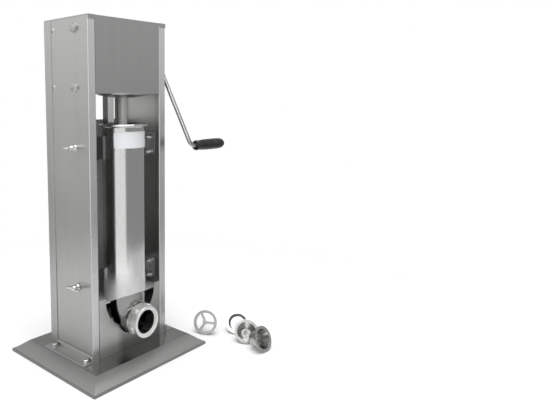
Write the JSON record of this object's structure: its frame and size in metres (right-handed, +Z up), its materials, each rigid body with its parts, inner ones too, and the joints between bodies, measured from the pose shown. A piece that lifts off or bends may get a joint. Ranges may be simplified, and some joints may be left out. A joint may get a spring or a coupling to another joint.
{
  "type": "churro maker",
  "caption": "Upright crank churro maker: brushed steel column on a wide foot, steel cylinder with rack-driven piston, elbow outlet with lugged ring nut, and loose forming dies.",
  "frame": {"origin": "middle of the foot plate on the floor", "axes": "+Z up the column, -Y out of the outlet towards the user, +X to the crank's side"},
  "size_m": [0.5105, 0.4642, 0.8128],
  "materials": {
    "brushed_panels": "brushed, long grain up the column",
    "satin_covers": "fine satin sheet",
    "base_steel": "fine satin sheet",
    "polished_steel": "polished",
    "cast_outlet": "polished casting",
    "cast_ring": "blasted casting",
    "fasteners": "bright stainless",
    "gear_steel": "machined, lightly oiled",
    "bearing_bronze": "turned bronze",
    "black_grip": "smooth black",
    "white_seal": "food-grade silicone",
    "blank_label": "blank film",
    "die_metal": "turned bright"
  },
  "bodies": {
    "stand": {"base_plate": "base_steel", "base_cover": "base_steel", "base_stiffeners": "base_steel", "foot_bracket_left": "satin_covers", "foot_bracket_right": "satin_covers", "foot_bolts": "fasteners", "left_side_panel": "brushed_panels", "right_side_panel": "brushed_panels", "rear_cover": "brushed_panels", "rear_cover_screws": "fasteners", "top_cover": "satin_covers", "top_cover_screws": "fasteners", "head_front_cover": "satin_covers", "lower_front_panel": "satin_covers", "cylinder_shelf": "satin_covers", "upper_saddle": "satin_covers", "lower_saddle": "satin_covers", "saddle_bolts": "fasteners", "wing_screw_bushes": "fasteners", "support_post": "polished_steel", "head_lower_frame": "satin_covers", "head_upper_frame": "satin_covers", "gear_plate_left": "gear_steel", "gear_plate_right": "gear_steel", "pinion_axle": "fasteners", "axle_nuts": "fasteners", "axle_spacers": "fasteners", "head_bolts": "fasteners", "head_rivets": "fasteners", "shaft_bushes": "bearing_bronze", "outer_shaft_bearing": "polished_steel", "upper_rack_guide": "bearing_bronze", "lower_rack_guide": "polished_steel", "cylinder_tube": "polished_steel", "label_plate": "blank_label", "outlet_elbow": "cast_outlet", "outlet_spigot": "cast_outlet", "outlet_gasket": "white_seal"},
    "plunger": {"rack_bar": "polished_steel", "piston": "polished_steel", "piston_seal": "white_seal", "piston_nut": "fasteners"},
    "gear_cluster": {"intermediate_gear": "gear_steel", "rack_pinion": "gear_steel", "axle_bushes": "bearing_bronze"},
    "crank": {"crank_shaft": "polished_steel", "crank_pinion": "gear_steel", "crank_hub": "fasteners", "crank_rod": "fasteners", "hub_screw": "fasteners", "grip_nut": "fasteners"},
    "handle": {"grip": "black_grip", "grip_cap": "black_grip"},
    "upper_wing": {"upper_wing_screw": "fasteners"},
    "lower_wing": {"lower_wing_screw": "fasteners"},
    "ring_nut": {"outlet_ring_nut": "cast_ring"},
    "spider_die": {"die_spider_ring": "die_metal"},
    "long_star_die": {"die_star_long": "die_metal"},
    "cup_star_die": {"die_star_cup": "die_metal"},
    "cone_die": {"die_cone": "die_metal"}
  },
  "joints": [
    {"name": "piston_travel", "type": "slide", "parent": "stand", "child": "plunger", "axis": [0, 0, 1], "range_m": [0, 0.41]},
    {"name": "gear_spin", "type": "hinge", "parent": "stand", "child": "gear_cluster", "pos_m": [0, -0.0325, 0.68796], "axis": [1, 0, 0], "range_deg": [-1255, 0]},
    {"name": "crank_spin", "type": "hinge", "parent": "stand", "child": "crank", "pos_m": [0.14, -0.026, 0.7335], "axis": [1, 0, 0], "range_deg": [0, 2870]},
    {"name": "grip_spin", "type": "hinge", "parent": "crank", "child": "handle", "pos_m": [0.2, -0.1445, 0.5145], "axis": [1, 0, 0], "continuous": true},
    {"name": "upper_wing_turn", "type": "hinge", "parent": "stand", "child": "upper_wing", "pos_m": [-0.13, -0.0325, 0.52], "axis": [1, 0, 0], "range_deg": [0, 540]},
    {"name": "lower_wing_turn", "type": "hinge", "parent": "stand", "child": "lower_wing", "pos_m": [-0.13, -0.0325, 0.197], "axis": [1, 0, 0], "range_deg": [0, 540]},
    {"name": "ring_nut_turn", "type": "hinge", "parent": "stand", "child": "ring_nut", "pos_m": [0, -0.125, 0.106], "axis": [0, 1, 0], "range_deg": [0, 900]},
    {"name": "spider_die_lift", "type": "slide", "parent": "stand", "child": "spider_die", "axis": [0, 0, 1], "range_m": [0, 0.15]},
    {"name": "long_star_die_lift", "type": "slide", "parent": "stand", "child": "long_star_die", "axis": [0, 0, 1], "range_m": [0, 0.15]},
    {"name": "cup_star_die_lift", "type": "slide", "parent": "stand", "child": "cup_star_die", "axis": [0, 0, 1], "range_m": [0, 0.15]},
    {"name": "cone_die_lift", "type": "slide", "parent": "stand", "child": "cone_die", "axis": [0, 0, 1], "range_m": [0, 0.15]}
  ],
  "couplings": [
    {"joint": "gear_spin", "follows": "piston_travel", "rad_per_m": -53.333},
    {"joint": "crank_spin", "follows": "piston_travel", "rad_per_m": 121.9}
  ]
}
